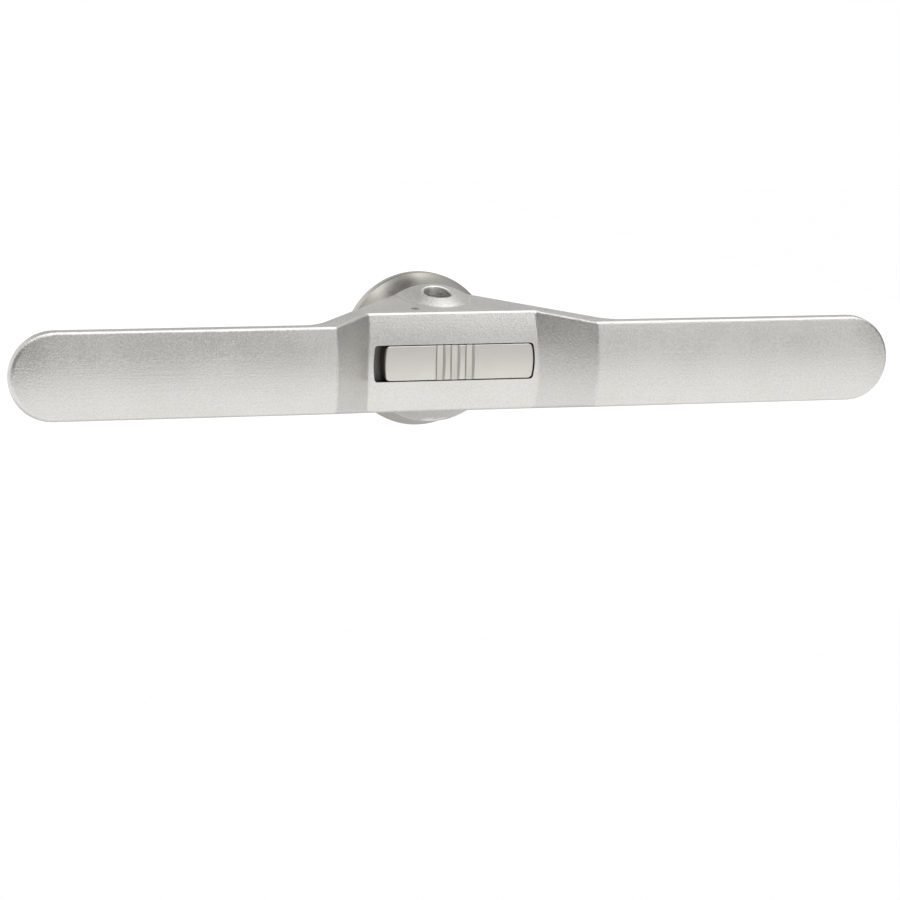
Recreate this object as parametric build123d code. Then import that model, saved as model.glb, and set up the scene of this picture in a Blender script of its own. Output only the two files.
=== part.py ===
from build123d import *
import math
import os

os.makedirs("parts", exist_ok=True)

# Padlockable lever handle, in millimetres.
# The origin is the centre of the flange where it sits on the door.
# +X runs along the right wing, +Z is up, and -Y points to the user.
# Every "_y" value below is a station along Y, so the front has the
# most negative one.

# Lever, seen from the front
lever_length = 202.2
wing_half_width = 9.43
block_half_length = 19.3
flank_run = 10.55
wall_draft = 8.0

# Lever, seen from above. The neck is a dome that stands out of the lever's walls
# and runs out into them towards the front. It ends in a collar, and behind that
# its skirt turns in the cup of the flange.
crown_radius = 40.0
block_crown_radius = 30.0
wing_edge_y = -38.1
block_edge_y = -27.1
wing_thickness = 3.5
wing_back_end = 34.0
neck_rear_y = -6.5
neck_flat = 5.4
neck_crest_y = -9.0
neck_stand = 2.15
neck_arch = 26.3
neck_length = 16.0
collar_rear_y = -10.4
skirt_radius = 13.6

# Rounding of the lever
front_edge_round = 0.9
back_edge_round = 1.4
wing_bend_round = 1.0
block_bend_round = 0.8
back_bend_round = 8.0
neck_round = 0.6
arm_root_round = 1.0

# Slot in the block and the slide in it
slot_half_length = 18.75
slot_half_height = 4.05
slot_corner = 0.8
slot_floor_y = -25.2
slide_travel = 2.4
slide_end_gap = 0.3
slide_side_gap = 0.18
slide_back_gap = 0.2
slide_corner = 1.0
slide_edge_round = 0.3
groove_count = 3
groove_middle = 0.1
groove_width = 2.3
groove_pitch = 3.4
groove_depth = 0.45
groove_wall = 0.5

# Key bar behind the slide and its window
bar_left = -12.0
bar_right = 10.6
bar_half_height = 2.9
bar_gap = 0.12
nose_tip = 5.3
nose_back = 9.4
nose_half_height = 2.0
nose_depth = 1.8

# Pin that keeps the slide in the lever
slide_pin_x = -7.6
slide_pin_y = -23.6
slide_pin_radius = 0.9
slide_pin_depth = 3.0
slide_pin_sink = 0.5
pin_slot_gap = 0.12

# Detent of the slide
ball_radius = 1.0
ball_x = 13.4
ball_hole_depth = 4.4
ball_stand_out = 0.35
ball_track_gap = 0.12
spring_wire = 0.3
spring_turns = 5

# Fixed core in the bore of the lever
core_radius = 10.0
running_gap = 0.05
bore_front_y = -21.8
core_front_y = -19.8
boss_radius = 5.0
boss_gap = 0.3
notch_gap = 0.2
notch_depth_gap = 0.3

# Hole for the shackle of a padlock
padlock_radius = 3.0
padlock_y = -16.2
padlock_rim = 0.5

# Flange on the door
flange_radius = 17.5
flange_rim = 3.4
flange_lip = 1.0
flange_cove = 0.2
cup_gap = 0.3
flange_edge = 0.3
flange_rear_edge = 1.2
glide_ring_width = 3.4
glide_ring_height = 0.6
glide_gap = 0.06
gasket_inner = 11.6
gasket_outer = 14.6
gasket_height = 1.2

# Barrel through the door
barrel_radius = 10.0
barrel_length = 13.0
thread_depth = 0.5
barrel_flat = 9.1
door_sheet = 2.0
washer_height = 1.0
washer_radius = 12.9
washer_teeth = 12
tooth_depth = 1.2
tooth_gap = 1.6
nut_across_flats = 24.0
nut_height = 5.0
nut_chamfer = 0.8
nut_turn = 8.0

# Spindle
spindle_radius = 5.0
spindle_front_y = -11.0
spindle_front_gap = 0.2
square_side = 8.0
square_length = 8.0
square_chamfer = 0.6
tap_radius = 2.5
tap_depth = 10.0
cross_pin_radius = 1.25
cross_pin_y = -8.8
cross_pin_sink = 0.5
pin_fit = 0.02
window_gap = 0.12
turn_angle = 90.0
o_ring_section = 1.8
o_ring_y = 4.6
o_ring_gap = 0.015
o_ring_side_gap = 0.2
bush_wall = 1.0
bush_length = 5.5
thrust_height = 0.8
thrust_radius = 8.6
ring_height = 1.0
ring_radius = 6.6
ring_groove_depth = 0.8
ring_opening = 4.2
ring_gap = 0.05


def crown_rise(half_width, radius):
    """How far the middle of a crowned face stands before its edge."""
    return radius - math.sqrt(radius**2 - half_width**2)


def tube(outer, inner, y0, y1):
    """A ring about the Y axis between two stations."""
    height = y1 - y0
    plane = Plane(origin=(0, y0, 0), x_dir=(1, 0, 0), z_dir=(0, 1, 0))
    disc = Circle(outer)
    if inner > 0:
        disc = disc - Circle(inner)
    return extrude(plane * disc, height)


def box_between(x0, x1, y0, y1, z0, z1):
    """A box given by its limits."""
    middle = ((x0 + x1) / 2, (y0 + y1) / 2, (z0 + z1) / 2)
    return Pos(*middle) * Box(x1 - x0, y1 - y0, z1 - z0)


def slot_shape(half_length, half_height, corner):
    """A bar with ends that are arcs about the middle of the block."""
    shape = Circle(half_length) & Rectangle(2.2 * half_length, 2 * half_height)
    return fillet(shape.vertices(), corner)


def facing_user(y0):
    """A plane across Y with its normal to the back."""
    return Plane(origin=(0, y0, 0), x_dir=(1, 0, 0), z_dir=(0, 1, 0))


# Places that follow from the sizes above
draft_slope = math.tan(math.radians(wall_draft))
block_half_width = wing_half_width + (block_edge_y - wing_edge_y) * draft_slope
wing_apex_y = wing_edge_y - crown_rise(wing_half_width, crown_radius)
flank_apex_y = block_edge_y - crown_rise(block_half_width, crown_radius)
block_apex_y = block_edge_y - crown_rise(block_half_width, block_crown_radius)
crest_half_width = wing_half_width + (neck_crest_y - wing_edge_y) * draft_slope
neck_radius = crest_half_width + neck_stand
bend_x = block_half_length + flank_run
tip_x = lever_length / 2 - wing_half_width - wing_thickness * draft_slope
wing_back_y = wing_edge_y + wing_thickness
slide_back_y = slot_floor_y - slide_back_gap
slide_right = slot_half_length - slide_end_gap
slide_left = slide_end_gap + slide_travel - slot_half_length
slide_middle = (slide_left + slide_right) / 2
bar_back_y = bore_front_y
boss_front_y = bore_front_y + boss_gap
bore_radius = core_radius + running_gap
flange_front_y = neck_rear_y + glide_ring_height

# Lever: crowned front faces as one run of sections along the bends.
# A section is taller and deeper than the lever, whose walls and back cut it.
section_half = 1.2 * neck_radius
section_back_y = -neck_rear_y


def front_run(x0, apex0, x1, apex1, radius):
    """Crowned section carried along a straight line, always facing the user."""
    edge_y = apex0 + crown_rise(section_half, radius)
    low_point = (x0, edge_y, -section_half)
    high_point = (x0, edge_y, section_half)
    crown = ThreePointArc(low_point, (x0, apex0, 0), high_point)
    sides = Polyline(
        high_point,
        (x0, section_back_y, section_half),
        (x0, section_back_y, -section_half),
        low_point,
    )
    section = Face(Wire(crown.edges() + sides.edges()))
    return Solid.extrude(section, (x1 - x0, apex1 - apex0, 0))


def front_tip(side):
    """Domed end of a wing: part of a ball with the radius of the crown."""
    ball = Pos(side * tip_x, wing_apex_y + crown_radius, 0) * Sphere(crown_radius)
    far_x = side * (tip_x + section_half)
    low_x = min(side * tip_x, far_x)
    high_x = max(side * tip_x, far_x)
    front_y = wing_apex_y - wing_thickness
    keep = box_between(low_x, high_x, front_y, section_back_y, -section_half, section_half)
    return ball & keep


# The block is more crowned than the flanks, so each runs a little into the other:
# by what their crowns differ over a section, and by the room to round the bend.
flank_slope = (flank_apex_y - wing_apex_y) / flank_run
flank_rise = crown_rise(section_half, crown_radius)
block_rise = crown_rise(section_half, block_crown_radius)
block_overrun = abs(block_rise - flank_rise) / flank_slope + block_bend_round
block_reach = block_half_length + block_overrun
flank_start_x = block_half_length - block_overrun
flank_start_y = flank_apex_y + block_overrun * flank_slope
front = front_run(-block_reach, block_apex_y, block_reach, block_apex_y, block_crown_radius)
for side in (-1, 1):
    start_x = side * flank_start_x
    end_x = side * bend_x
    flank = front_run(start_x, flank_start_y, end_x, wing_apex_y, crown_radius)
    wing = front_run(end_x, wing_apex_y, side * tip_x, wing_apex_y, crown_radius)
    front = front + flank + wing + front_tip(side)


def creases(shape, low_x, high_x):
    """Curved edges that cross the front between two distances from the middle."""
    found = [e for e in shape.edges() if e.geom_type != GeomType.LINE]
    found = [e for e in found if e.bounding_box().size.Z > section_half]
    return [e for e in found if low_x < abs(e.position_at(0.5).X) < high_x]


front = fillet(creases(front, bend_x - 0.1, bend_x + 0.1), wing_bend_round)
front = fillet(creases(front, block_half_length, block_reach), block_bend_round)

# Outline of the lever from the front, with drafted walls
outline_y = wing_apex_y - wing_thickness
outline_cut = (wing_edge_y - outline_y) * draft_slope
wing_low = wing_half_width - outline_cut
outline = SlotCenterToCenter(2 * tip_x, 2 * wing_low)
walls = extrude(facing_user(outline_y) * outline, -outline_y, taper=-wall_draft)

# Back of the wings and arms from above
back_points = [
    (-lever_length, outline_y),
    (-lever_length, wing_back_y),
    (-wing_back_end, wing_back_y),
    (-neck_flat, neck_rear_y),
    (neck_flat, neck_rear_y),
    (wing_back_end, wing_back_y),
    (lever_length, wing_back_y),
    (lever_length, outline_y),
]
back_shape = make_face(Polyline(*back_points, close=True))
bends = [v for v in back_shape.vertices() if abs(abs(v.X) - wing_back_end) < 0.01]
back_shape = fillet(bends, back_bend_round)
back = extrude(back_shape, lever_length, both=True)

lever = front & walls & back


def shared_edges(shape, first, second):
    """Edges where a face of the first kind meets one of the second."""
    faces = [(f.normal_at().Y, f.edges()) for f in shape.faces()]
    ones = [e for ny, edges in faces if first(ny) for e in edges]
    twos = [e for ny, edges in faces if second(ny) for e in edges]
    return [e for e in ones if any(e.is_same(t) for t in twos)]


def is_front(ny):
    return ny < -0.45


def is_wall(ny):
    return abs(ny) < 0.3


def is_back(ny):
    return ny > 0.45


lever = fillet(shared_edges(lever, is_front, is_wall), front_edge_round)
back_edges = shared_edges(lever, is_back, is_wall)
back_edges = [e for e in back_edges if abs(e.center().X) > neck_flat]
lever = fillet(back_edges, back_edge_round)

# Round neck behind the block, cut off at its collar, with a skirt behind it
neck_front_y = collar_rear_y - neck_length
neck_middle_y = (neck_rear_y + neck_front_y) / 2


def neck_radius_at(y):
    """Radius of the dome at a station along Y."""
    return neck_radius - crown_rise(y - neck_crest_y, neck_arch)


neck_profile = make_face(
    ThreePointArc(
        (neck_radius_at(neck_rear_y), neck_rear_y),
        (neck_radius_at(neck_middle_y), neck_middle_y),
        (neck_radius_at(neck_front_y), neck_front_y),
    )
    + Polyline(
        (neck_radius_at(neck_front_y), neck_front_y),
        (0, neck_front_y),
        (0, neck_rear_y),
        (neck_radius_at(neck_rear_y), neck_rear_y),
    )
)
lever = lever + revolve(neck_profile, Axis.Y)


def is_root(edge):
    """True for an edge on the neck, in front of its rear rim."""
    point = edge.position_at(0.5)
    if not neck_front_y < point.Y < neck_rear_y - neck_round:
        return False
    return abs(math.hypot(point.X, point.Z) - neck_radius_at(point.Y)) < 0.02


lever = fillet([e for e in lever.edges() if is_root(e)], arm_root_round)
lever = lever - tube(lever_length, 0, collar_rear_y, 0)
lever = fillet(lever.edges().group_by(Axis.Y)[-1], neck_round)
lever = lever + tube(skirt_radius, 0, collar_rear_y - neck_round, neck_rear_y)

# Bore for the core, slot for the slide, and the window between them
lever = lever - tube(bore_radius, 0, bore_front_y, 0)
slot = slot_shape(slot_half_length, slot_half_height, slot_corner)
lever = lever - extrude(facing_user(outline_y) * slot, slot_floor_y - outline_y)
window_left = bar_left - slide_travel - bar_gap
window_right = bar_right + bar_gap
window_half_height = bar_half_height + bar_gap
window_back_y = bar_back_y + slide_back_gap
lever = lever - box_between(
    window_left,
    window_right,
    slot_floor_y - slide_back_gap,
    window_back_y,
    -window_half_height,
    window_half_height,
)

# Hole for the shackle, with a rounded rim
shackle = Pos(0, padlock_y, 0) * Cylinder(padlock_radius, 4 * neck_radius)
lever = lever - shackle


def is_rim(edge):
    """True for an outer edge of the shackle hole."""
    point = edge.position_at(0.5)
    offset = math.hypot(point.X, point.Y - padlock_y) - padlock_radius
    outside = abs(point.Z) > bore_radius
    return outside and abs(offset) < 0.01 and edge.geom_type != GeomType.LINE


rims = [e for e in lever.edges() if is_rim(e)]
lever = fillet(rims, padlock_rim)

# Holes for the cross pin, the slide pin and the detent
cross_hole = Rot(0, 90, 0) * Cylinder(cross_pin_radius + pin_fit, 4 * neck_radius)
lever = lever - Pos(0, cross_pin_y, 0) * cross_hole
slide_pin_low = -window_half_height - slide_pin_depth
slide_pin_hole = Cylinder(slide_pin_radius + pin_fit, 4 * neck_radius)
slide_pin_hole = Pos(slide_pin_x, slide_pin_y, slide_pin_low + 2 * neck_radius) * slide_pin_hole
lever = lever - slide_pin_hole
ball_hole_back_y = slot_floor_y + ball_hole_depth
ball_hole = tube(ball_radius + running_gap, 0, slot_floor_y - 1, ball_hole_back_y)
lever = lever - Pos(ball_x, 0, 0) * ball_hole
export_step(lever, "parts/lever.step")

def crowned(apex_y):
    """Everything behind a face crowned as the block, along its whole length."""
    return front_run(-slot_half_length, apex_y, slot_half_length, apex_y, block_crown_radius)


# Slide: crowned plate flush with the block
slide_half_height = slot_half_height - slide_side_gap
slide_length = slide_right - slide_left
end_arc = slot_half_length - slide_end_gap
ends = Pos(slide_right - end_arc, 0) * Circle(end_arc)
ends = ends & Pos(slide_left + end_arc, 0) * Circle(end_arc)
slide_shape = ends & Pos(slide_middle, 0) * Rectangle(slide_length, 2 * slide_half_height)
slide_shape = fillet(slide_shape.vertices(), slide_corner)
slide = extrude(facing_user(outline_y) * slide_shape, slide_back_y - outline_y)
slide = slide & crowned(block_apex_y)
slide_rim = shared_edges(slide, is_front, is_wall)
slide = fillet(slide_rim, slide_edge_round)
groove_floor = crowned(block_apex_y + groove_depth)
groove_points = [
    (-groove_width / 2 - groove_wall, block_apex_y - groove_depth),
    (groove_width / 2 + groove_wall, block_apex_y - groove_depth),
    (groove_width / 2 - groove_wall, block_apex_y + groove_depth),
    (groove_wall - groove_width / 2, block_apex_y + groove_depth),
]
groove = extrude(make_face(Polyline(*groove_points, close=True)), slot_half_height, both=True)
groove = groove - groove_floor
for i in range(groove_count):
    middle = groove_middle + (i - (groove_count - 1) / 2) * groove_pitch
    slide = slide - Pos(middle, 0, 0) * groove

# Slide: key bar with its nose, the slot for the pin and the ball track
slide = slide + box_between(
    bar_left,
    bar_right,
    slide_back_y - 1,
    bar_back_y,
    -bar_half_height,
    bar_half_height,
)
slide = slide + box_between(
    nose_tip,
    nose_back,
    bar_back_y - 1,
    bar_back_y + nose_depth,
    -nose_half_height,
    nose_half_height,
)
pin_slot_radius = slide_pin_radius + pin_slot_gap
pin_slot = SlotCenterToCenter(slide_travel, 2 * pin_slot_radius)
pin_slot = Pos(slide_pin_x + slide_travel / 2, slide_pin_y) * pin_slot
slide = slide - extrude(pin_slot, neck_radius, both=True)
ball_lift = ball_stand_out + ball_track_gap
ball_low = ball_radius - ball_stand_out
track_half = math.sqrt(ball_radius**2 - ball_low**2) + ball_track_gap
track = SlotCenterToCenter(slide_travel, 2 * track_half)
track = facing_user(slide_back_y - ball_lift) * Pos(ball_x + slide_travel / 2, 0) * track
slide = slide - extrude(track, ball_lift)
export_step(slide, "parts/slide.step")

# Pin that keeps the slide in the lever
slide_pin_wall = wing_half_width + (slide_pin_y - wing_edge_y) * draft_slope
slide_pin_top = slide_pin_wall - slide_pin_sink
slide_pin_length = slide_pin_top - slide_pin_low - pin_fit
slide_pin = Cylinder(slide_pin_radius, slide_pin_length)
slide_pin = chamfer(slide_pin.edges().filter_by(GeomType.CIRCLE), slide_pin_radius / 4)
slide_pin = Pos(slide_pin_x, slide_pin_y, slide_pin_top - slide_pin_length / 2) * slide_pin
export_step(slide_pin, "parts/slide_pin.step")

# Detent ball and its spring
ball_y = slide_back_y - ball_stand_out + ball_radius
ball = Pos(ball_x, ball_y, 0) * Sphere(ball_radius)
export_step(ball, "parts/detent_ball.step")
spring_start_y = ball_y + ball_radius + spring_wire / 2
spring_end_y = ball_hole_back_y - spring_wire / 2 - pin_fit
spring_height = spring_end_y - spring_start_y
spring_radius = ball_radius - spring_wire / 2
coil = Helix(spring_height / spring_turns, spring_height, spring_radius)
wire_face = Plane(origin=coil @ 0, z_dir=coil % 0) * Rectangle(spring_wire, spring_wire)
spring = sweep(wire_face, path=coil)
spring = Pos(ball_x, spring_start_y, 0) * Rot(-90, 0, 0) * spring
export_step(spring, "parts/detent_spring.step")

# Cross pin from the lever through the spindle
cross_pin_length = 2 * (skirt_radius - cross_pin_sink)
cross_pin = Cylinder(cross_pin_radius, cross_pin_length)
cross_pin = chamfer(cross_pin.edges().filter_by(GeomType.CIRCLE), cross_pin_radius / 4)
cross_pin = Pos(0, cross_pin_y, 0) * Rot(0, 90, 0) * cross_pin
export_step(cross_pin, "parts/cross_pin.step")

# Housing: core, flange and threaded barrel as one turned piece
spindle_bore = spindle_radius + running_gap
bush_radius = spindle_bore + bush_wall
cup_radius = skirt_radius + cup_gap
lip_radius = cup_radius + flange_lip
lip_y = collar_rear_y + cup_gap
cove_middle_radius = (flange_radius + lip_radius) / 2 - flange_cove
cove_middle_y = (lip_y - flange_rim) / 2 + flange_cove
profile = [
    Polyline(
        (0, boss_front_y),
        (boss_radius, boss_front_y),
        (boss_radius, core_front_y),
        (core_radius, core_front_y),
        (core_radius, flange_front_y),
        (cup_radius, flange_front_y),
        (cup_radius, lip_y),
        (lip_radius, lip_y),
    ),
    ThreePointArc(
        (lip_radius, lip_y),
        (cove_middle_radius, cove_middle_y),
        (flange_radius, -flange_rim),
    ),
]
thread_root = barrel_radius - thread_depth
barrel = Polyline(
    (flange_radius, -flange_rim),
    (flange_radius, -flange_rear_edge),
    (flange_radius - flange_rear_edge, 0),
    (thread_root, 0),
    (thread_root, barrel_length),
    (0, barrel_length),
    (0, boss_front_y),
)
profile.append(barrel)
profile_edges = [e for line in profile for e in line.edges()]
housing = revolve(make_face(profile_edges), Axis.Y)
rim_edges = housing.edges().filter_by(GeomType.CIRCLE)
rim_edges = [e for e in rim_edges if abs(e.radius - flange_radius) < 0.01]
housing = chamfer([e for e in rim_edges if abs(e.center().Y + flange_rim) < 0.01], flange_edge)

# Housing: spindle bore, bush seat, gasket recess and flats
spindle_end_y = spindle_front_y - spindle_front_gap
housing = housing - tube(spindle_bore, 0, spindle_end_y, 2 * barrel_length)
bush_front_y = barrel_length - bush_length
housing = housing - tube(bush_radius + pin_fit, 0, bush_front_y, 2 * barrel_length)
housing = housing - tube(gasket_outer, gasket_inner, -gasket_height, 1)
for side in (-1, 1):
    far_x = side * 2 * barrel_radius
    low_x = min(side * barrel_flat, far_x)
    high_x = max(side * barrel_flat, far_x)
    flat = box_between(low_x, high_x, 0, 2 * barrel_length, -barrel_radius, barrel_radius)
    housing = housing - flat

# Housing: windows in which the cross pin turns
window_half = cross_pin_radius + window_gap
pin_front_y = cross_pin_y - window_half
pin_rear_y = cross_pin_y + window_half
reach = 2 * core_radius
quarter = box_between(0, reach, pin_front_y, pin_rear_y, -reach, 0)
start_strip = box_between(0, reach, pin_front_y, pin_rear_y, 0, window_half)
end_strip = box_between(-window_half, 0, pin_front_y, pin_rear_y, -reach, 0)
sweep_cut = quarter + start_strip + end_strip
sweep_cut = sweep_cut & tube(skirt_radius, 0, pin_front_y, pin_rear_y)
housing = housing - sweep_cut - Rot(0, 180, 0) * sweep_cut

# Housing: shackle hole and the notches for the nose of the slide
housing = housing - shackle
notch_start = nose_tip - slide_travel - notch_depth_gap
notch_half = nose_half_height + notch_gap
notch = box_between(
    notch_start,
    reach,
    2 * boss_front_y,
    core_front_y,
    -notch_half,
    notch_half,
)
housing = housing - notch - Rot(0, turn_angle, 0) * notch
export_step(housing, "parts/housing.step")

# Rings and seals about the core and under the flange
glide_inner = core_radius + glide_gap
glide_outer = glide_inner + glide_ring_width
glide_ring = tube(glide_outer, glide_inner, neck_rear_y + glide_gap, flange_front_y)
export_step(glide_ring, "parts/glide_ring.step")
gasket = tube(gasket_outer - glide_gap, gasket_inner + glide_gap, -gasket_height, 0)
export_step(gasket, "parts/flange_gasket.step")

# Spindle with its square end, tapped hole and grooves
thrust_front_y = barrel_length + running_gap
ring_front_y = thrust_front_y + thrust_height + running_gap
ring_rear_y = ring_front_y + ring_height
square_front_y = ring_rear_y + ring_height
square_rear_y = square_front_y + square_length
spindle = tube(spindle_radius, 0, spindle_front_y, square_front_y)
half_side = square_side / 2
square = box_between(-half_side, half_side, square_front_y, square_rear_y, -half_side, half_side)
square = chamfer(square.edges().filter_by(Axis.Y), square_chamfer)
spindle = spindle + square
spindle_rim = spindle.edges().group_by(Axis.Y)[-1]
spindle = chamfer(spindle_rim, square_chamfer)
spindle = spindle - tube(tap_radius, 0, square_rear_y - tap_depth, square_rear_y)
o_ring_root = spindle_radius - o_ring_section
o_half = o_ring_section / 2 + o_ring_side_gap
spindle = spindle - tube(2 * spindle_radius, o_ring_root, o_ring_y - o_half, o_ring_y + o_half)
ring_root = spindle_radius - ring_groove_depth
ring_back_y = ring_rear_y + ring_gap
spindle = spindle - tube(2 * spindle_radius, ring_root, ring_front_y - ring_gap, ring_back_y)
spindle = spindle - Pos(0, cross_pin_y, 0) * cross_hole
export_step(spindle, "parts/spindle.step")

# Seal, bush, washer and retaining ring of the spindle
o_ring_middle = o_ring_root + o_ring_section / 2 + o_ring_gap
o_ring = Pos(0, o_ring_y, 0) * Rot(90, 0, 0) * Torus(o_ring_middle, o_ring_section / 2)
export_step(o_ring, "parts/shaft_o_ring.step")
bush = tube(bush_radius, spindle_bore, bush_front_y, barrel_length)
export_step(bush, "parts/bearing_bush.step")
thrust_rear_y = thrust_front_y + thrust_height
thrust = tube(thrust_radius, spindle_bore, thrust_front_y, thrust_rear_y)
export_step(thrust, "parts/thrust_washer.step")
ring = tube(ring_radius, ring_root + ring_gap, ring_front_y, ring_rear_y)
opening = box_between(0, reach, ring_front_y, ring_rear_y, -ring_opening / 2, ring_opening / 2)
ring = ring - opening
export_step(ring, "parts/retaining_ring.step")

# Toothed washer and clamp nut behind the door sheet
washer_inner = barrel_radius + running_gap
washer_rear_y = door_sheet + washer_height
washer = tube(washer_radius, washer_inner, door_sheet, washer_rear_y)
tooth_root = washer_radius - tooth_depth
tooth_cut = box_between(
    tooth_root,
    2 * washer_radius,
    0,
    2 * barrel_length,
    -tooth_gap / 2,
    tooth_gap / 2,
)
for i in range(washer_teeth):
    washer = washer - Rot(0, i * 360 / washer_teeth, 0) * tooth_cut
export_step(washer, "parts/lock_washer.step")
hexagon = RegularPolygon(nut_across_flats / 2, 6, major_radius=False)
nut = extrude(facing_user(washer_rear_y) * hexagon, nut_height)
nut_corner = nut_across_flats / math.sqrt(3)
nut_rear_y = washer_rear_y + nut_height
dome_points = [
    (0, washer_rear_y),
    (nut_corner, washer_rear_y),
    (nut_corner, nut_rear_y - nut_chamfer),
    (nut_corner - 2 * nut_chamfer, nut_rear_y),
    (0, nut_rear_y),
]
nut = nut & revolve(make_face(Polyline(*dome_points, close=True)), Axis.Y)
nut = nut - tube(washer_inner, 0, 0, 2 * barrel_length)
nut = Rot(0, nut_turn, 0) * nut
export_step(nut, "parts/clamp_nut.step")
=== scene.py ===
# %% [markdown]
# # A padlockable lever handle
#
# The handle closes a cabinet door: two wings for the fingers, a recessed block in
# the middle with a thumb slide, a round flange on the door, and behind it the
# barrel, nut and spindle that the door hides. Its solids come from a CAD model, so
# they are loaded as a fixed frame first. Lengths are in metres, unless a name says
# mm.

# %% Load the solids
import math

import bmesh
import bpy
from mathutils import Matrix, Vector


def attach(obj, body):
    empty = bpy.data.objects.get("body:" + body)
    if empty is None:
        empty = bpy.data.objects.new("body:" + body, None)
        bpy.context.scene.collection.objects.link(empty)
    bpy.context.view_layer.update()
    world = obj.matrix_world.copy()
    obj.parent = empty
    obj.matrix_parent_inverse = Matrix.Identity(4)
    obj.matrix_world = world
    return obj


MM_PER_METRE = 1000.0

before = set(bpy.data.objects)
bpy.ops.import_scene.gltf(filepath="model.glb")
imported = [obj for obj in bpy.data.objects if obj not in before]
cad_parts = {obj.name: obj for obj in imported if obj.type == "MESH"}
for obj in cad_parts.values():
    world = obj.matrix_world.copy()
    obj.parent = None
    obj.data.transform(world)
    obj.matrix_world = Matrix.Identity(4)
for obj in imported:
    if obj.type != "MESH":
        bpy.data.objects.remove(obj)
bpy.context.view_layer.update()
scene = bpy.context.scene
scene.view_settings.view_transform = "Standard"

# %% [markdown]
# ## The camera
#
# The photograph looks at the handle from a little left of its front and from just
# above, through a long lens. A camera could be turned by eye, but here its angles
# were measured from edges of known size, so the matrix is built from them. The
# small roll is the tilt of the handle in the picture, and the shift puts it in the
# upper middle of the square frame.

# %% Camera
AIM = Vector((0.0, -0.0271, 0.0))
AZIMUTH = math.radians(-18.76)
ELEVATION = math.radians(7.071)
ROLL = math.radians(1.044)
DISTANCE = 0.73632
LENS_MM = 133.45
SENSOR_MM = 36.0
SHIFT_X = -0.00206
SHIFT_Y = -0.0985
NEAREST = 0.01
FARTHEST = 50.0

camera_data = bpy.data.cameras.new("photo_camera")
camera_data.sensor_width = SENSOR_MM
camera_data.lens = LENS_MM
camera_data.shift_x = SHIFT_X
camera_data.shift_y = SHIFT_Y
camera_data.clip_start = NEAREST
camera_data.clip_end = FARTHEST
camera = bpy.data.objects.new("photo_camera", camera_data)
scene.collection.objects.link(camera)

back = Vector(
    (
        math.sin(AZIMUTH) * math.cos(ELEVATION),
        -math.cos(AZIMUTH) * math.cos(ELEVATION),
        math.sin(ELEVATION),
    )
)
level = Vector((math.cos(AZIMUTH), math.sin(AZIMUTH), 0.0))
upright = back.cross(level)
right = level * math.cos(ROLL) + upright * math.sin(ROLL)
above = upright * math.cos(ROLL) - level * math.sin(ROLL)
turned = Matrix((right, above, back)).transposed().to_4x4()
camera.matrix_world = Matrix.Translation(AIM + back * DISTANCE) @ turned
scene.camera = camera
print("camera stands at", [round(v, 3) for v in camera.matrix_world.translation])

# %% [markdown]
# ## Small tools for nodes
#
# The floor, the studio and every finish below need the same few nodes: a step of
# arithmetic, a change of range, a blend. In the editor each of them is added and
# wired by hand. Here a small function adds the node, feeds its inputs with numbers or
# links and gives back its output, so that a formula of many nodes stays readable.

# %% Node tools
VALUE_STEPS = ("DISTANCE", "DOT_PRODUCT", "LENGTH")


def feed(tree, socket, given):
    """Links an output to a socket, or sets a plain value on it."""
    if isinstance(given, bpy.types.NodeSocket):
        tree.links.new(given, socket)
    else:
        socket.default_value = given


def put_math(tree, operation, *values):
    """One step of arithmetic between varying values and numbers."""
    node = tree.nodes.new("ShaderNodeMath")
    node.operation = operation
    for socket, value in zip(node.inputs, values):
        feed(tree, socket, value)
    return node.outputs[0]


def put_vector_math(tree, operation, *vectors):
    """One step between vectors: gives a vector, or a value where the step measures."""
    node = tree.nodes.new("ShaderNodeVectorMath")
    node.operation = operation
    for socket, vector in zip(node.inputs, vectors):
        feed(tree, socket, vector)
    return node.outputs["Value" if operation in VALUE_STEPS else "Vector"]


def put_range(tree, value, low, high, new_low=0.0, new_high=1.0, way="SMOOTHSTEP"):
    """Maps a varying value from one range to another."""
    node = tree.nodes.new("ShaderNodeMapRange")
    node.interpolation_type = way
    titles = ("Value", "From Min", "From Max", "To Min", "To Max")
    for title, given in zip(titles, (value, low, high, new_low, new_high)):
        feed(tree, node.inputs[title], given)
    return node.outputs[0]


def put_shader_mix(tree, factor, first, second):
    """Blends two shaders by a varying factor."""
    node = tree.nodes.new("ShaderNodeMixShader")
    for socket, given in zip(node.inputs, (factor, first, second)):
        tree.links.new(given, socket)
    return node.outputs[0]


print("vector steps that measure:", ", ".join(VALUE_STEPS))

# %% [markdown]
# ## The floor
#
# The picture shows the handle cut out on white, with no table near it. A pale disc
# well below the handle stands in for the studio floor, so that its shadow stays soft
# and outside the picture. A plane would do as well, but a disc has no corners that
# could show as a mirrored edge in the steel.

# %% Floor disc
FLOOR_Z = -0.17
FLOOR_RADIUS = 3.0
FLOOR_SIDES = 64


def link_new_mesh(name, bm):
    """Turns a finished bmesh into an object at the origin."""
    mesh = bpy.data.meshes.new(name)
    bm.to_mesh(mesh)
    bm.free()
    piece = bpy.data.objects.new(name, mesh)
    scene.collection.objects.link(piece)
    return piece


floor_bm = bmesh.new()
bmesh.ops.create_circle(
    floor_bm,
    cap_ends=True,
    segments=FLOOR_SIDES,
    radius=FLOOR_RADIUS,
    matrix=Matrix.Translation((0, 0, FLOOR_Z)),
)
floor = link_new_mesh("studio_floor", floor_bm)

# %% [markdown]
# ## Shades on the floor
#
# Steel mirrors the floor, and in the photograph its lower faces are not evenly white:
# the floor must be darker under the handle, far out to both sides and in one patch on
# the right. More lamps and flags could make such shades. Here the distance from a
# place on the floor sets each of them, which is quick and leaves no lamp to balance.

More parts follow.
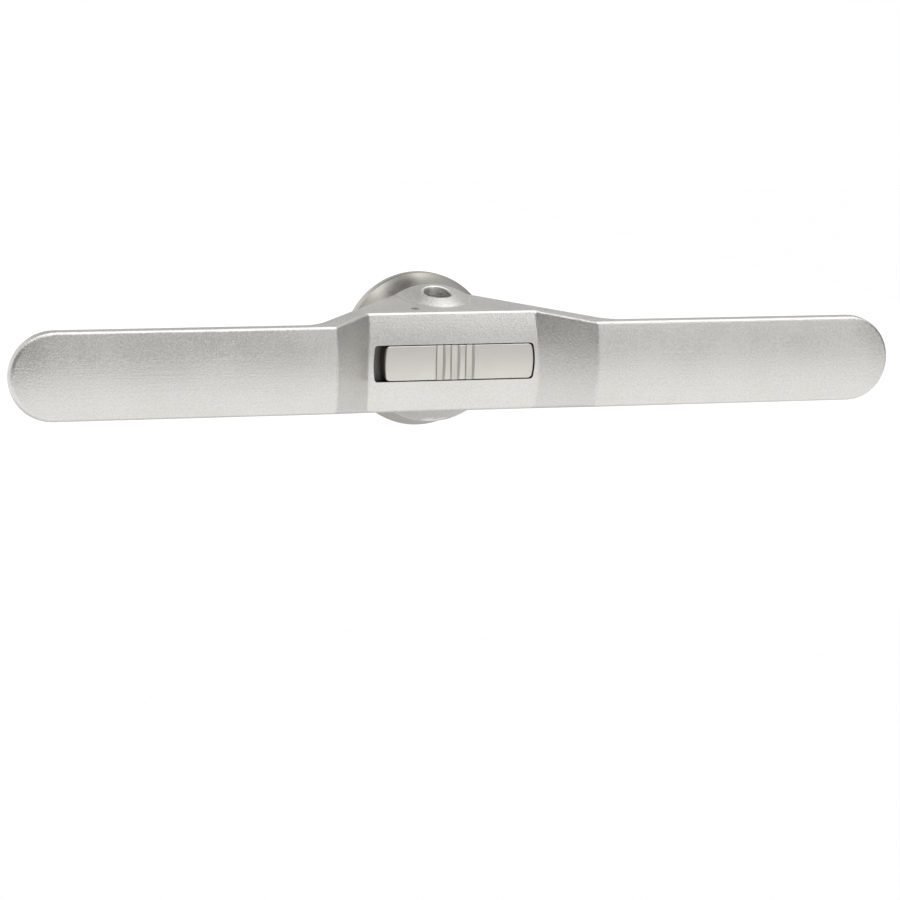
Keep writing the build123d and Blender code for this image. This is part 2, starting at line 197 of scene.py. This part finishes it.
# %% Floor shades
PAPER_WHITE = 1.09
UNDER_SHADE = 0.6
UNDER_PLACE = Vector((0.0, 0.2, 0.0))
UNDER_REACH = (0.1, 0.4)
SIDE_SHADE = 0.68
SIDE_MIDDLE = 0.45
SIDE_REACH = (0.3, 0.75)
FAR_REACH = (0.6, 1.4)
RIGHT_SHADE = 0.7
RIGHT_PLACE = Vector((0.6, 0.2, 0.0))
RIGHT_REACH = (0.15, 0.45)

floor_paper = bpy.data.materials.new("floor_paper")
floor_paper.use_nodes = True
tree = floor_paper.node_tree
tree.nodes.clear()
coords = tree.nodes.new("ShaderNodeTexCoord")
on_floor = put_vector_math(tree, "MULTIPLY", coords.outputs["Object"], (1, 1, 0))
from_under = put_vector_math(tree, "DISTANCE", on_floor, UNDER_PLACE)
from_right = put_vector_math(tree, "DISTANCE", on_floor, RIGHT_PLACE)
split = tree.nodes.new("ShaderNodeSeparateXYZ")
tree.links.new(on_floor, split.inputs[0])
from_middle = put_math(tree, "ABSOLUTE", put_math(tree, "SUBTRACT", split.outputs["X"], SIDE_MIDDLE))

under = put_range(tree, from_under, *UNDER_REACH, UNDER_SHADE, PAPER_WHITE)
aside = put_range(tree, from_middle, *SIDE_REACH)
far_off = put_range(tree, from_under, *FAR_REACH)
far_aside = put_math(tree, "MULTIPLY", aside, far_off)
sides = put_math(tree, "MULTIPLY_ADD", far_aside, SIDE_SHADE - 1.0, 1.0)
right_patch = put_range(tree, from_right, *RIGHT_REACH, RIGHT_SHADE, 1.0)
shades = put_math(tree, "MULTIPLY", put_math(tree, "MULTIPLY", under, sides), right_patch)
print("floor goes from", PAPER_WHITE, "down to", UNDER_SHADE, "under the handle")

# %% [markdown]
# ## The floor's paper
#
# To the camera, and to rays that are mirrored or pass through something, the paper
# glows white almost by itself, so the picture's ground is white and the steel mirrors
# it. The small rest is plain diffuse shading and keeps the handle's shadow. To all
# other rays it is diffuse paper only. Seen from below it is clear, so it hides
# nothing.

# %% Floor paper
PAPER_COLOUR = (0.9, 0.9, 0.9, 1)
WHITE = (1, 1, 1, 1)
GLOW_SHARE = 0.985

rays = tree.nodes.new("ShaderNodeLightPath")
mirrored = put_math(tree, "MAXIMUM", rays.outputs["Is Camera Ray"], rays.outputs["Is Glossy Ray"])
seen = put_math(tree, "MAXIMUM", mirrored, rays.outputs["Is Transmission Ray"])
paper = tree.nodes.new("ShaderNodeBsdfDiffuse")
paper.inputs["Color"].default_value = PAPER_COLOUR
glow = tree.nodes.new("ShaderNodeEmission")
glow.inputs["Color"].default_value = WHITE
glow_strength = put_math(tree, "MAXIMUM", rays.outputs["Is Camera Ray"], shades)
tree.links.new(glow_strength, glow.inputs["Strength"])
clear = tree.nodes.new("ShaderNodeBsdfTransparent")
facing = tree.nodes.new("ShaderNodeNewGeometry")
glow_part = put_math(tree, "MULTIPLY", seen, GLOW_SHARE)
from_above = put_shader_mix(tree, glow_part, paper.outputs[0], glow.outputs[0])
whole = put_shader_mix(tree, facing.outputs["Backfacing"], from_above, clear.outputs[0])
floor_out = tree.nodes.new("ShaderNodeOutputMaterial")
tree.links.new(whole, floor_out.inputs["Surface"])
floor.data.materials.append(floor_paper)
print("floor paper keeps", round(1.0 - GLOW_SHARE, 3), "of its shading for the shadow")

# %% [markdown]
# ## Light
#
# Satin steel has almost no colour of its own: it shows a blurred picture of the
# studio. In the photograph its front is a mid grey that grows lighter downwards,
# and every upper edge is a white line. So the studio is grey at eye level, white
# below and bright overhead. A wall on the right and one on the left are darker, and
# behind the handle one corner overhead is dark and one on the left is bright. The
# world could be one flat grey, but then the steel would look like paint. The camera
# itself sees plain white.

# %% World
# Height from straight down, 0, to straight up, 1, and the brightness there
SKY_STOPS = [
    (0.0, 1.0),
    (0.45, 0.9),
    (0.5, 0.64),
    (0.6, 0.48),
    (0.865, 0.52),
    (0.93, 1.6),
    (0.967, 1.6),
    (1.0, 0.78),
]
# Direction, the cosines where the patch starts and where it is whole, and its factor
STUDIO_PATCHES = {
    "right wall": (Vector((0.99, -0.05, 0.0)), 0.5, 0.88, 0.38),
    "left wall": (Vector((-0.8, -0.6, 0.0)), 0.36, 0.66, 0.44),
    "dark corner": (Vector((-0.07, 0.545, 0.835)), 0.93, 0.985, 0.15),
    "bright corner": (Vector((-0.6, 0.78, 0.17)), 0.7, 0.93, 1.75),
}

studio = bpy.data.worlds.new("studio")
scene.world = studio
studio.use_nodes = True
tree = studio.node_tree
tree.nodes.clear()
heading = tree.nodes.new("ShaderNodeTexCoord").outputs["Generated"]
split = tree.nodes.new("ShaderNodeSeparateXYZ")
tree.links.new(heading, split.inputs[0])
height = put_range(tree, split.outputs["Z"], -1.0, 1.0, way="LINEAR")
sky = tree.nodes.new("ShaderNodeValToRGB")
tree.links.new(height, sky.inputs["Fac"])
for place, brightness in SKY_STOPS[1:-1]:
    sky.color_ramp.elements.new(place)
for stop, (place, brightness) in zip(sky.color_ramp.elements, SKY_STOPS):
    stop.position = place
    stop.color = (brightness, brightness, brightness, 1)

patches = 1.0
for name, (direction, start, full, factor) in STUDIO_PATCHES.items():
    toward = put_vector_math(tree, "DOT_PRODUCT", heading, direction)
    patches = put_math(tree, "MULTIPLY", patches, put_range(tree, toward, start, full, 1.0, factor))
    print("studio:", name, "is", factor, "times as bright")

studio_light = tree.nodes.new("ShaderNodeBackground")
tree.links.new(sky.outputs["Color"], studio_light.inputs["Color"])
tree.links.new(patches, studio_light.inputs["Strength"])
white_ground = tree.nodes.new("ShaderNodeBackground")
white_ground.inputs["Color"].default_value = WHITE
white_ground.inputs["Strength"].default_value = 1.0
rays = tree.nodes.new("ShaderNodeLightPath")
whole = put_shader_mix(tree, rays.outputs["Is Camera Ray"], studio_light.outputs[0], white_ground.outputs[0])
world_out = tree.nodes.new("ShaderNodeOutputWorld")
tree.links.new(whole, world_out.inputs["Surface"])
print("studio has", len(SKY_STOPS), "bands of light from floor to ceiling")

# %% [markdown]
# ## Four soft boxes
#
# A photographer lights steel with soft boxes, because a bare bulb would give a hard
# spot. Two wide ones hang above the handle and draw the white line along every upper
# edge, a third does so for the right wing, and the small one in front lifts the grain
# of the wings. Area lamps are used because their size sets how soft the highlight is.

# %% Lamps


def soft_lamp(name, place, aim, size, watts):
    """A rectangular soft box that points at a place on the handle."""
    data = bpy.data.lights.new(name, "AREA")
    data.shape = "RECTANGLE"
    data.size, data.size_y = size
    data.energy = watts
    lamp = bpy.data.objects.new(name, data)
    lamp.location = place
    lamp.rotation_mode = "QUATERNION"
    lamp.rotation_quaternion = (Vector(aim) - Vector(place)).to_track_quat("-Z", "Y")
    scene.collection.objects.link(lamp)
    print(name, "gives", watts, "W")


soft_lamp("top_soft_box", place=(0.0, -0.05, 0.7), aim=(0, -0.02, 0), size=(0.8, 0.3), watts=0.4)
soft_lamp("edge_soft_box", place=(0.15, -0.33, 0.55), aim=(0.03, -0.03, 0), size=(0.6, 0.3), watts=0.44)
soft_lamp("front_soft_box", place=(0.27, -0.44, 0.25), aim=(0.05, -0.03, 0), size=(0.16, 0.12), watts=0.15)
soft_lamp("right_soft_box", place=(0.55, 0.0, 0.5), aim=(0.09, -0.03, 0), size=(0.3, 0.3), watts=0.25)

# %% [markdown]
# ## Patterns that several finishes share
#
# The lever is bead blasted, the slide is brushed and the flange is turned on a
# lathe. Each of these marks is a pattern that more than one steel uses, so each is
# a node group with a few inputs: it is built once and placed in every material with
# its own values. The patterns read Object coordinates, which stay with the piece
# when the lever turns.

# %% Blasted grain
GRAIN_DETAIL = 2.0
CLOUD_DETAIL = 3.0


def new_group(name, inputs, outputs):
    """A shader node group with named float inputs and outputs."""
    group = bpy.data.node_groups.new(name, "ShaderNodeTree")
    for title, value in inputs.items():
        socket = group.interface.new_socket(title, in_out="INPUT", socket_type="NodeSocketFloat")
        socket.default_value = value
    for title in outputs:
        group.interface.new_socket(title, in_out="OUTPUT", socket_type="NodeSocketFloat")
    return group, group.nodes.new("NodeGroupInput"), group.nodes.new("NodeGroupOutput")


def put_noise(tree, vector, scale, detail):
    """A cloudy pattern of values about 0.5."""
    node = tree.nodes.new("ShaderNodeTexNoise")
    feed(tree, node.inputs["Vector"], vector)
    feed(tree, node.inputs["Scale"], scale)
    feed(tree, node.inputs["Detail"], detail)
    return node.outputs["Fac"]


blasted_grain, entry, leave = new_group(
    "blasted_grain", {"Grain Size mm": 0.25, "Cloud Size mm": 9.0}, ["Grain", "Cloud"]
)
coords = blasted_grain.nodes.new("ShaderNodeTexCoord")
for title, detail in (("Grain", GRAIN_DETAIL), ("Cloud", CLOUD_DETAIL)):
    per_metre = put_math(blasted_grain, "DIVIDE", MM_PER_METRE, entry.outputs[title + " Size mm"])
    noise = put_noise(blasted_grain, coords.outputs["Object"], per_metre, detail)
    blasted_grain.links.new(noise, leave.inputs[title])
print("group", blasted_grain.name, "gives", [socket.name for socket in leave.inputs if socket.name])

# %% [markdown]
# ## Brushed lines
#
# A belt sander leaves long scratches in one direction. A noise that is stretched
# along one axis gives the same look: many lines per millimetre across the belt and
# few along it. An image of scratches would need unwrapped faces, and this does not.

# %% Brushed lines
LINE_DETAIL = 3.0

brushed_lines, entry, leave = new_group(
    "brushed_lines", {"Lines per mm X": 0.02, "Lines per mm Y": 5.0, "Lines per mm Z": 5.0}, ["Lines"]
)
coords = brushed_lines.nodes.new("ShaderNodeTexCoord")
stretch = brushed_lines.nodes.new("ShaderNodeCombineXYZ")
for axis in "XYZ":
    brushed_lines.links.new(entry.outputs["Lines per mm " + axis], stretch.inputs[axis])
stretched = put_vector_math(brushed_lines, "MULTIPLY", coords.outputs["Object"], stretch.outputs[0])
noise = put_noise(brushed_lines, stretched, MM_PER_METRE, LINE_DETAIL)
brushed_lines.links.new(noise, leave.inputs["Lines"])
print("group", brushed_lines.name, "gives Lines")

# %% [markdown]
# ## Turned rings
#
# A lathe tool leaves fine rings about the axis it cuts around. The distance from that
# axis plus the depth along it changes steadily over flat faces, cones and cylinders
# alike, so a one-dimensional noise of that sum puts rings on all of them.

# %% Turned rings
RING_DETAIL = 2.0

turned_rings, entry, leave = new_group("turned_rings", {"Rings per mm": 2.5}, ["Rings"])
coords = turned_rings.nodes.new("ShaderNodeTexCoord")
across_axis = (MM_PER_METRE, 0, MM_PER_METRE)
from_axis = put_vector_math(turned_rings, "MULTIPLY", coords.outputs["Object"], across_axis)
radius = put_vector_math(turned_rings, "LENGTH", from_axis)
split = turned_rings.nodes.new("ShaderNodeSeparateXYZ")
turned_rings.links.new(coords.outputs["Object"], split.inputs[0])
along_cut = put_math(turned_rings, "MULTIPLY_ADD", split.outputs["Y"], MM_PER_METRE, radius)
ring_count = put_math(turned_rings, "MULTIPLY", along_cut, entry.outputs["Rings per mm"])
noise = turned_rings.nodes.new("ShaderNodeTexNoise")
noise.noise_dimensions = "1D"
noise.inputs["Scale"].default_value = 1.0
noise.inputs["Detail"].default_value = RING_DETAIL
turned_rings.links.new(ring_count, noise.inputs["W"])
turned_rings.links.new(noise.outputs["Fac"], leave.inputs["Rings"])
print("group", turned_rings.name, "follows the distance from the spindle's axis")

# %% [markdown]
# ## Finishes
#
# Each finish is a metal or plastic whose colour, roughness and fine relief vary over
# the surface. A flat grey would look like a drawing: real steel has small clouds in
# its roughness, and its grain breaks up every highlight. A noise keeps close to 0.5,
# so its narrow span is stretched before it drives a colour or a roughness.

# %% Tools for finishes
NARROW_SPAN = (0.3, 0.7)
WIDE_SPAN = (0.25, 0.75)


def start_finish(name):
    """A material, its node tree and its Principled shader."""
    material = bpy.data.materials.new(name)
    material.use_nodes = True
    return material, material.node_tree, material.node_tree.nodes["Principled BSDF"]


def put_group(tree, group, values):
    """Places a node group in a material with its own values."""
    node = tree.nodes.new("ShaderNodeGroup")
    node.node_tree = group
    for title, value in values.items():
        node.inputs[title].default_value = value
    return node


def put_mix(tree, factor, first, second):
    """Blends two colours, fixed or varying, by a varying factor."""
    node = tree.nodes.new("ShaderNodeMix")
    node.data_type = "RGBA"
    feed(tree, node.inputs["Factor"], factor)
    for title, colour in (("A", first), ("B", second)):
        feed(tree, node.inputs[title], (*colour, 1) if isinstance(colour, tuple) else colour)
    return node.outputs["Result"]


def put_relief(tree, shader, height, metres, strength):
    """Fine relief from a varying height."""
    node = tree.nodes.new("ShaderNodeBump")
    node.inputs["Strength"].default_value = strength
    node.inputs["Distance"].default_value = metres
    tree.links.new(height, node.inputs["Height"])
    tree.links.new(node.outputs["Normal"], shader.inputs["Normal"])


def dress(finish, *names):
    """Gives a finish to CAD nodes."""
    for name in names:
        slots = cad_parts[name].data.materials
        slots.clear()
        slots.append(finish)
    print("finish", finish.name, "on", ", ".join(names))


print("noise is stretched from", NARROW_SPAN, "or", WIDE_SPAN)

# %% [markdown]
# ## The painted shade inside the slot
#
# The walls of the slot are painted nearly black: this is painted shade, for a recess
# that the light hardly reaches. They belong to the same solid as the bright lever, so
# a mask from the Object coordinates marks what lies inside the slot's outline and
# behind its mouth. Selecting faces would also work, but it would change the CAD mesh.

# %% Slot shade
SLOT_HALF_LENGTH_MM = 18.9
SLOT_HALF_HEIGHT_MM = 4.1
MOUTH_FADE_MM = 0.5
LEVER_SLOT = {"Front Y mm": -28.7, "Back Y mm": -20.0}
SLIDE_SIDES = {"Front Y mm": -28.35, "Back Y mm": -10.0}
# painted shade: the dark colour given to the slot's walls and the groove walls
PAINTED_SHADE_COLOUR = (0.23, 0.22, 0.195)

slot_shade, entry, leave = new_group("slot_shade", LEVER_SLOT, ["Inside"])
coords = slot_shade.nodes.new("ShaderNodeTexCoord")
split = slot_shade.nodes.new("ShaderNodeSeparateXYZ")
slot_shade.links.new(coords.outputs["Object"], split.inputs[0])
in_mm = {axis: put_math(slot_shade, "MULTIPLY", split.outputs[axis], MM_PER_METRE) for axis in "XYZ"}
from_middle = put_math(slot_shade, "ABSOLUTE", in_mm["X"])
from_axis = put_math(slot_shade, "ABSOLUTE", in_mm["Z"])
in_length = put_math(slot_shade, "LESS_THAN", from_middle, SLOT_HALF_LENGTH_MM)
in_height = put_math(slot_shade, "LESS_THAN", from_axis, SLOT_HALF_HEIGHT_MM)
mouth = entry.outputs["Front Y mm"]
behind_mouth = put_math(slot_shade, "ADD", mouth, MOUTH_FADE_MM)
past_front = put_range(slot_shade, in_mm["Y"], mouth, behind_mouth, way="LINEAR")
before_back = put_math(slot_shade, "LESS_THAN", in_mm["Y"], entry.outputs["Back Y mm"])
in_outline = put_math(slot_shade, "MULTIPLY", in_length, in_height)
in_depth = put_math(slot_shade, "MULTIPLY", past_front, before_back)
inside = put_math(slot_shade, "MULTIPLY", in_outline, in_depth)
slot_shade.links.new(inside, leave.inputs["Inside"])
print("group", slot_shade.name, "marks", 2 * SLOT_HALF_LENGTH_MM, "by", 2 * SLOT_HALF_HEIGHT_MM, "mm")

# %% [markdown]
# ## The grooves of the slide
#
# Three grooves give the thumb a grip, and their steep walls are painted darker, as
# painted shade in the grooves. The grooves repeat at one pitch, so a ping-pong of the
# distance along the slide tells how far a point is from the nearest groove's middle,
# and a narrow band of that distance is the wall. One formula marks all six walls.

# %% Groove walls
GROOVE_COUNT = 3
GROOVE_MIDDLE_MM = 0.1
GROOVE_PITCH_MM = 3.4
WALL_START_MM = 0.62
WALL_END_MM = 1.18
LAST_GROOVE_MM = (GROOVE_COUNT - 1) / 2 * GROOVE_PITCH_MM

groove_walls, entry, leave = new_group("groove_walls", {"Middle X mm": GROOVE_MIDDLE_MM}, ["Wall"])
coords = groove_walls.nodes.new("ShaderNodeTexCoord")
split = groove_walls.nodes.new("ShaderNodeSeparateXYZ")
groove_walls.links.new(coords.outputs["Object"], split.inputs[0])
x_mm = put_math(groove_walls, "MULTIPLY", split.outputs["X"], MM_PER_METRE)
along = put_math(groove_walls, "SUBTRACT", x_mm, entry.outputs["Middle X mm"])
from_groove = put_math(groove_walls, "PINGPONG", along, GROOVE_PITCH_MM / 2)
past_floor = put_math(groove_walls, "GREATER_THAN", from_groove, WALL_START_MM)
before_top = put_math(groove_walls, "LESS_THAN", from_groove, WALL_END_MM)
on_wall = put_math(groove_walls, "MULTIPLY", past_floor, before_top)
from_middle = put_math(groove_walls, "ABSOLUTE", along)
in_pattern = put_math(groove_walls, "LESS_THAN", from_middle, LAST_GROOVE_MM + WALL_END_MM)
groove_walls.links.new(put_math(groove_walls, "MULTIPLY", on_wall, in_pattern), leave.inputs["Wall"])
print("group", groove_walls.name, "marks", 2 * GROOVE_COUNT, "walls")

# %% [markdown]
# ## The lever
#
# The lever is cast steel, bead blasted and then lightly polished: an even satin grey
# with a visible grain. A fine noise changes colour and roughness a little and lifts
# the surface by hundredths of a millimetre, and slow clouds keep large faces from
# looking flat. Only roughness would be simpler, but then the grain would vanish in
# plain light.

# %% Lever steel
LEVER_DARK = (0.71, 0.7, 0.665)
LEVER_LIGHT = (0.8, 0.79, 0.76)
LEVER_ROUGH = (0.38, 0.46)
LEVER_RELIEF = 0.00006
TONE_SPAN = (0.2, 0.8)
SPECKLE = 0.3
SCRATCH_SHARE = 0.5

lever_steel, tree, shader = start_finish("lever_steel")
shader.inputs["Metallic"].default_value = 1.0
grain = put_group(tree, blasted_grain, {"Grain Size mm": 0.4, "Cloud Size mm": 11.0})
lines = put_group(
    tree, brushed_lines, {"Lines per mm X": 0.05, "Lines per mm Y": 2.5, "Lines per mm Z": 2.5}
)
slot = put_group(tree, slot_shade, LEVER_SLOT)
speckle = put_range(tree, grain.outputs["Grain"], *NARROW_SPAN, -SPECKLE, SPECKLE)
tone = put_math(tree, "ADD", grain.outputs["Cloud"], speckle)
clean = put_mix(tree, put_range(tree, tone, *TONE_SPAN), LEVER_DARK, LEVER_LIGHT)
# painted shade: the slot's walls are darkened where they lie in the recess
shade_painted = put_mix(tree, slot.outputs["Inside"], clean, PAINTED_SHADE_COLOUR)
tree.links.new(shade_painted, shader.inputs["Base Color"])
rough = put_range(tree, tone, *TONE_SPAN, *LEVER_ROUGH)
tree.links.new(rough, shader.inputs["Roughness"])
scratches = put_math(tree, "MULTIPLY", lines.outputs["Lines"], SCRATCH_SHARE)
relief = put_math(tree, "ADD", grain.outputs["Grain"], scratches)
put_relief(tree, shader, relief, LEVER_RELIEF, strength=0.8)
dress(lever_steel, "lever")

# %% [markdown]
# ## The thumb slide
#
# The slide is a separate milled piece, so its finish is warmer and smoother than the
# lever's, with fine lines along its length. It uses the brushed lines for colour and
# relief, the slot mask again for painted shade on its sides and back, and the groove
# mask for painted shade on the groove walls.

# %% Slide steel
SLIDE_DARK = (0.72, 0.7, 0.655)
SLIDE_LIGHT = (0.79, 0.77, 0.725)
SLIDE_ROUGH = (0.42, 0.5)
SLIDE_RELIEF = 0.00002
# painted shade: how far the groove walls are darkened
GROOVE_SHADE_SHARE = 0.33

slide_steel, tree, shader = start_finish("slide_steel")
shader.inputs["Metallic"].default_value = 1.0
grain = put_group(tree, blasted_grain, {"Grain Size mm": 0.2, "Cloud Size mm": 6.0})
lines = put_group(
    tree, brushed_lines, {"Lines per mm X": 0.12, "Lines per mm Y": 7.0, "Lines per mm Z": 7.0}
)
slot = put_group(tree, slot_shade, SLIDE_SIDES)
grooves = put_group(tree, groove_walls, {})
clean = put_mix(tree, lines.outputs["Lines"], SLIDE_DARK, SLIDE_LIGHT)
# painted shade on the groove walls
groove_shade = put_math(tree, "MULTIPLY", grooves.outputs["Wall"], GROOVE_SHADE_SHARE)
# painted shade on the slide's sides and back and on the groove walls
painted_shade_part = put_math(tree, "MAXIMUM", slot.outputs["Inside"], groove_shade)
shade_painted = put_mix(tree, painted_shade_part, clean, PAINTED_SHADE_COLOUR)
tree.links.new(shade_painted, shader.inputs["Base Color"])
rough = put_range(tree, grain.outputs["Cloud"], *WIDE_SPAN, *SLIDE_ROUGH)
tree.links.new(rough, shader.inputs["Roughness"])
put_relief(tree, shader, lines.outputs["Lines"], SLIDE_RELIEF, strength=0.3)
dress(slide_steel, "slide")

# %% [markdown]
# ## Turned pieces
#
# The flange, spindle, nut, washers and pins are all cut on a lathe and differ only in
# shade, gloss and fineness of their rings. One function builds such a steel from
# these values, which is shorter than six materials made by hand.

# %% Turned steels
RING_RELIEF = 0.00003


def turned_steel(name, dark, light, rough, rings_per_mm, strength):
    """Bright turned steel with fine rings about the spindle's axis."""
    finish, tree, shader = start_finish(name)
    shader.inputs["Metallic"].default_value = 1.0
    rings = put_group(tree, turned_rings, {"Rings per mm": rings_per_mm})
    grain = put_group(tree, blasted_grain, {"Grain Size mm": 0.4, "Cloud Size mm": 5.0})
    colour = put_mix(tree, put_range(tree, rings.outputs["Rings"], *NARROW_SPAN), dark, light)
    tree.links.new(colour, shader.inputs["Base Color"])
    clouds = put_range(tree, grain.outputs["Cloud"], *WIDE_SPAN, *rough)
    tree.links.new(clouds, shader.inputs["Roughness"])
    put_relief(tree, shader, rings.outputs["Rings"], RING_RELIEF, strength)
    return finish


housing_steel = turned_steel(
    "housing_steel", dark=(0.54, 0.525, 0.475), light=(0.66, 0.645, 0.595),
    rough=(0.22, 0.3), rings_per_mm=2.5, strength=0.25,
)
dress(housing_steel, "housing")
spindle_steel = turned_steel(
    "spindle_steel", dark=(0.6, 0.6, 0.6), light=(0.68, 0.68, 0.67),
    rough=(0.25, 0.33), rings_per_mm=4.0, strength=0.3,
)
dress(spindle_steel, "spindle")
nut_steel = turned_steel(
    "nut_steel", dark=(0.56, 0.55, 0.525), light=(0.64, 0.63, 0.605),
    rough=(0.36, 0.46), rings_per_mm=2.0, strength=0.25,
)
dress(nut_steel, "clamp_nut")
washer_steel = turned_steel(
    "washer_steel", dark=(0.62, 0.62, 0.6), light=(0.72, 0.72, 0.7),
    rough=(0.3, 0.42), rings_per_mm=1.5, strength=0.2,
)
dress(washer_steel, "lock_washer", "thrust_washer")
pin_steel = turned_steel(
    "pin_steel", dark=(0.54, 0.54, 0.54), light=(0.62, 0.62, 0.62),
    rough=(0.2, 0.3), rings_per_mm=5.0, strength=0.2,
)
dress(pin_steel, "cross_pin", "slide_pin", "detent_ball", "detent_spring")
ring_steel = turned_steel(
    "ring_steel", dark=(0.28, 0.28, 0.3), light=(0.38, 0.38, 0.4),
    rough=(0.3, 0.42), rings_per_mm=2.0, strength=0.2,
)
dress(ring_steel, "retaining_ring")

# %% [markdown]
# ## Plastics and rubber
#
# The glide ring and the bush are moulded plastic, the gasket and the O-ring rubber.
# None of them is metal, so light also scatters in their colour. A function with a few
# values makes all three: their grain follows that of the mould, and rubber is the
# roughest.

# %% Plastics and rubber
MOULD_RELIEF = 0.00004


def moulded(name, dark, light, rough, grain_mm, strength):
    """A moulded plastic or rubber with a fine grain."""
    finish, tree, shader = start_finish(name)
    grain = put_group(tree, blasted_grain, {"Grain Size mm": grain_mm, "Cloud Size mm": 4.0})
    colour = put_mix(tree, grain.outputs["Cloud"], dark, light)
    tree.links.new(colour, shader.inputs["Base Color"])
    grains = put_range(tree, grain.outputs["Grain"], *WIDE_SPAN, *rough)
    tree.links.new(grains, shader.inputs["Roughness"])
    put_relief(tree, shader, grain.outputs["Grain"], MOULD_RELIEF, strength)
    return finish


glide_plastic = moulded(
    "glide_plastic", dark=(0.045, 0.045, 0.05), light=(0.075, 0.075, 0.08),
    rough=(0.4, 0.5), grain_mm=0.3, strength=0.2,
)
dress(glide_plastic, "glide_ring")
bush_plastic = moulded(
    "bush_plastic", dark=(0.1, 0.1, 0.11), light=(0.14, 0.14, 0.15),
    rough=(0.4, 0.55), grain_mm=0.25, strength=0.2,
)
dress(bush_plastic, "bearing_bush")
seal_rubber = moulded(
    "seal_rubber", dark=(0.035, 0.035, 0.035), light=(0.06, 0.06, 0.06),
    rough=(0.6, 0.75), grain_mm=0.2, strength=0.3,
)
dress(seal_rubber, "flange_gasket", "shaft_o_ring")

# %% [markdown]
# ## Screw threads
#
# The barrel behind the flange carries a clamp nut, and the end of the spindle is
# tapped for a screw. A thread is one profile carried round an axis while it climbs,
# so a small loop of edges is spun with a rise at every step. The Screw modifier would
# do the same, but the spin leaves a plain mesh that can be cut flat: planes trim the
# threads at their ends, and the barrel's at its two flats.

# %% Thread tool
STEPS_PER_TURN = 40
ON_PLANE = 1e-7


def spun_thread(foot, crest, foot_width, crest_width, start_y, pitch, turns):
    """A helical ridge about the spindle's axis, from a loop of four edges."""
    bm = bmesh.new()
    loop = [
        bm.verts.new((foot, start_y - foot_width / 2, 0)),
        bm.verts.new((crest, start_y - crest_width / 2, 0)),
        bm.verts.new((crest, start_y + crest_width / 2, 0)),
        bm.verts.new((foot, start_y + foot_width / 2, 0)),
    ]
    edges = [bm.edges.new((loop[i], loop[i - 1])) for i in range(len(loop))]
    bmesh.ops.spin(
        bm,
        geom=loop + edges,
        axis=(0, 1, 0),
        cent=(0, 0, 0),
        dvec=(0, pitch / STEPS_PER_TURN, 0),
        angle=2 * math.pi * turns,
        steps=STEPS_PER_TURN * turns,
    )
    return bm


def trim(bm, place, outward):
    """Cuts away what lies past a plane and closes the cut."""
    parts = bm.verts[:] + bm.edges[:] + bm.faces[:]
    bmesh.ops.bisect_plane(
        bm, geom=parts, dist=ON_PLANE, plane_co=place, plane_no=outward, clear_outer=True
    )
    open_edges = [edge for edge in bm.edges if edge.is_boundary]
    bmesh.ops.holes_fill(bm, edges=open_edges, sides=0)


def finish_thread(name, bm, body, finish):
    """Turns a thread's faces outwards, makes it a piece and lets it ride on its body."""
    bmesh.ops.recalc_face_normals(bm, faces=bm.faces[:])
    piece = link_new_mesh(name, bm)
    piece.data.materials.append(finish)
    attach(piece, body)
    print(name, "has", len(piece.data.polygons), "faces")


print("a turn of thread has", STEPS_PER_TURN, "steps")

# %% [markdown]
# ## The barrel's thread
#
# The door's nut runs on a fine thread, interrupted by two flats that keep the barrel
# from turning in its hole. The ridge starts on the plain CAD barrel, just inside its
# surface, and stops just under the nut's bore. Spinning it a little too far at both
# ends and trimming it there gives clean ends.

# %% Barrel thread
BARREL_FOOT = 0.00944
BARREL_CREST = 0.00998
BARREL_PITCH = 0.0015
BARREL_TURNS = 10
BARREL_START_Y = -0.0008
BARREL_FRONT_Y = 0.0006
BARREL_END_Y = 0.0129
BARREL_FLAT_X = 0.0091

barrel_bm = spun_thread(
    BARREL_FOOT, BARREL_CREST, foot_width=0.0014, crest_width=0.0003,
    start_y=BARREL_START_Y, pitch=BARREL_PITCH, turns=BARREL_TURNS,
)
trim(barrel_bm, (0, BARREL_END_Y, 0), (0, 1, 0))
trim(barrel_bm, (0, BARREL_FRONT_Y, 0), (0, -1, 0))
for side in (1, -1):
    trim(barrel_bm, (side * BARREL_FLAT_X, 0, 0), (side, 0, 0))
finish_thread("barrel_thread", barrel_bm, "housing", housing_steel)

# %% [markdown]
# ## The thread in the spindle
#
# A screw at the end of the spindle holds the cam or rod that a door needs. Its thread
# points inwards, so the crest has a smaller radius than the foot, and the same tool
# makes it with the two values swapped.

# %% Tap thread
TAP_FOOT = 0.00254
TAP_CREST = 0.00225
TAP_PITCH = 0.001
TAP_TURNS = 11
TAP_START_Y = 0.0142
TAP_FRONT_Y = 0.0141
TAP_END_Y = 0.0237

tap_bm = spun_thread(
    TAP_FOOT, TAP_CREST, foot_width=0.0009, crest_width=0.00015,
    start_y=TAP_START_Y, pitch=TAP_PITCH, turns=TAP_TURNS,
)
trim(tap_bm, (0, TAP_END_Y, 0), (0, 1, 0))
trim(tap_bm, (0, TAP_FRONT_Y, 0), (0, -1, 0))
finish_thread("tap_thread", tap_bm, "lever", spindle_steel)
